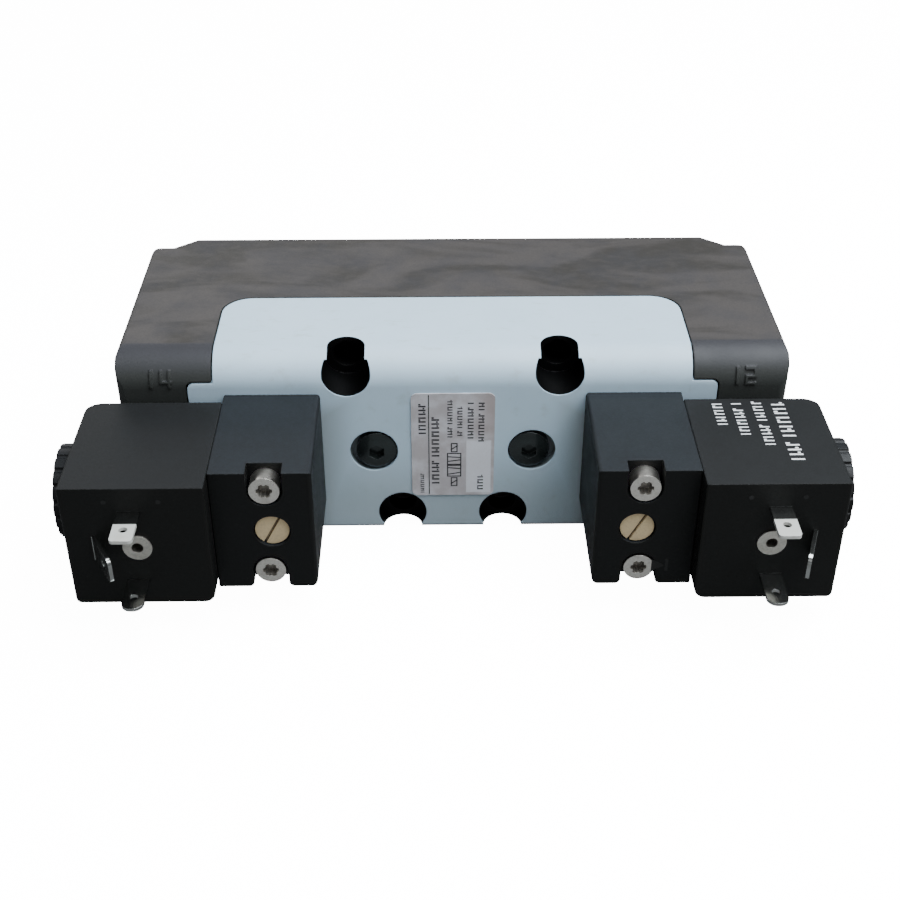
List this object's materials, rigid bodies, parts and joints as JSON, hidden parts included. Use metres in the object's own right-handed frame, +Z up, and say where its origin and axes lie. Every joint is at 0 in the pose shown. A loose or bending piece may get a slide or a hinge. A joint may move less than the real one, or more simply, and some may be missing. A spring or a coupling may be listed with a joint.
{
  "type": "solenoid directional valve",
  "caption": "Plate-mounted pneumatic spool valve with a solenoid pilot valve and a coil at each end, coil plug blades and manual overrides.",
  "frame": {"origin": "centre of the underside of the valve's bounding box, as it lies on its long side", "axes": "+X along the valve from the left to the right coil, +Y from the plug blades to the mounting face, +Z up"},
  "size_m": [0.175, 0.109, 0.0475],
  "materials": {
    "dark_casting": "dark coated aluminium casting, satin, with faint stains",
    "grey_paint": "aluminium casting painted light blue-grey, satin",
    "black_steel": "black oxide steel",
    "label": "printed foil label, matt",
    "black_rubber": "nitrile rubber",
    "machined_aluminium": "machined",
    "dark_plug": "black anodised",
    "spring_steel": "drawn wire and strip",
    "block_plastic": "black glass-filled plastic, moulded",
    "zinc_steel": "nickel plated steel",
    "brass": "machined brass, dull",
    "stainless": "turned stainless steel",
    "coil_plastic": "black moulded resin",
    "bobbin_plastic": "natural nylon",
    "copper_wire": "enamelled copper wire, wound",
    "tinned_blade": "tin plated brass strip",
    "nut_plastic": "black moulded plastic"
  },
  "bodies": {
    "valve": {"main_body": "dark_casting", "pilot_housing": "grey_paint", "housing_gasket": "black_rubber", "cover_screws": "black_steel", "rating_label": "label", "interface_gasket": "black_rubber", "sleeve": "machined_aluminium", "sleeve_rings": "black_rubber", "end_clips": "spring_steel", "left_end_plug": "dark_plug", "right_end_plug": "dark_plug", "left_end_ring": "black_rubber", "right_end_ring": "black_rubber", "left_pilot_block": "block_plastic", "right_pilot_block": "block_plastic", "left_pilot_gasket": "black_rubber", "right_pilot_gasket": "black_rubber", "left_pilot_screws": "zinc_steel", "right_pilot_screws": "zinc_steel", "left_nozzle": "brass", "right_nozzle": "brass", "left_plunger_spring": "spring_steel", "right_plunger_spring": "spring_steel", "left_core_tube": "stainless", "right_core_tube": "stainless", "left_tube_ring": "black_rubber", "right_tube_ring": "black_rubber", "left_coil": "coil_plastic", "right_coil": "coil_plastic", "left_yoke": "spring_steel", "right_yoke": "spring_steel", "left_bobbin": "bobbin_plastic", "right_bobbin": "bobbin_plastic", "left_winding": "copper_wire", "right_winding": "copper_wire", "left_blades": "tinned_blade", "right_blades": "tinned_blade", "left_plug_insert": "tinned_blade", "right_plug_insert": "tinned_blade"},
    "spool": {"spool": "machined_aluminium", "spool_rings": "black_rubber", "left_piston": "machined_aluminium", "right_piston": "machined_aluminium", "left_piston_ring": "black_rubber", "right_piston_ring": "black_rubber"},
    "left_plunger": {"left_plunger": "stainless", "left_plunger_seat": "black_rubber"},
    "left_override": {"left_override": "brass", "left_override_ring": "black_rubber"},
    "left_coil_nut": {"left_coil_nut": "nut_plastic", "left_nut_ring": "black_rubber"},
    "right_plunger": {"right_plunger": "stainless", "right_plunger_seat": "black_rubber"},
    "right_override": {"right_override": "brass", "right_override_ring": "black_rubber"},
    "right_coil_nut": {"right_coil_nut": "nut_plastic", "right_nut_ring": "black_rubber"}
  },
  "joints": [
    {"name": "spool_slide", "type": "slide", "parent": "valve", "child": "spool", "axis": [1, 0, 0], "range_m": [0, 0.008]},
    {"name": "left_plunger_slide", "type": "slide", "parent": "valve", "child": "left_plunger", "axis": [-1, 0, 0], "range_m": [0, 0.0008], "stiffness_N_per_m": 400, "springref_m": -0.006, "deforming": ["left_plunger_spring"]},
    {"name": "left_override_turn", "type": "hinge", "parent": "valve", "child": "left_override", "pos_m": [-0.0395, -0.03945, 0.02335], "axis": [0, 1, 0], "range_deg": [0, 90]},
    {"name": "left_coil_nut_turn", "type": "hinge", "parent": "valve", "child": "left_coil_nut", "pos_m": [-0.08525, -0.02355, 0.02335], "axis": [1, 0, 0], "continuous": true},
    {"name": "right_plunger_slide", "type": "slide", "parent": "valve", "child": "right_plunger", "axis": [1, 0, 0], "range_m": [0, 0.0008], "stiffness_N_per_m": 400, "springref_m": -0.006, "deforming": ["right_plunger_spring"]},
    {"name": "right_override_turn", "type": "hinge", "parent": "valve", "child": "right_override", "pos_m": [0.0395, -0.03945, 0.02335], "axis": [0, 1, 0], "range_deg": [0, 90]},
    {"name": "right_coil_nut_turn", "type": "hinge", "parent": "valve", "child": "right_coil_nut", "pos_m": [0.08525, -0.02355, 0.02335], "axis": [1, 0, 0], "continuous": true}
  ]
}
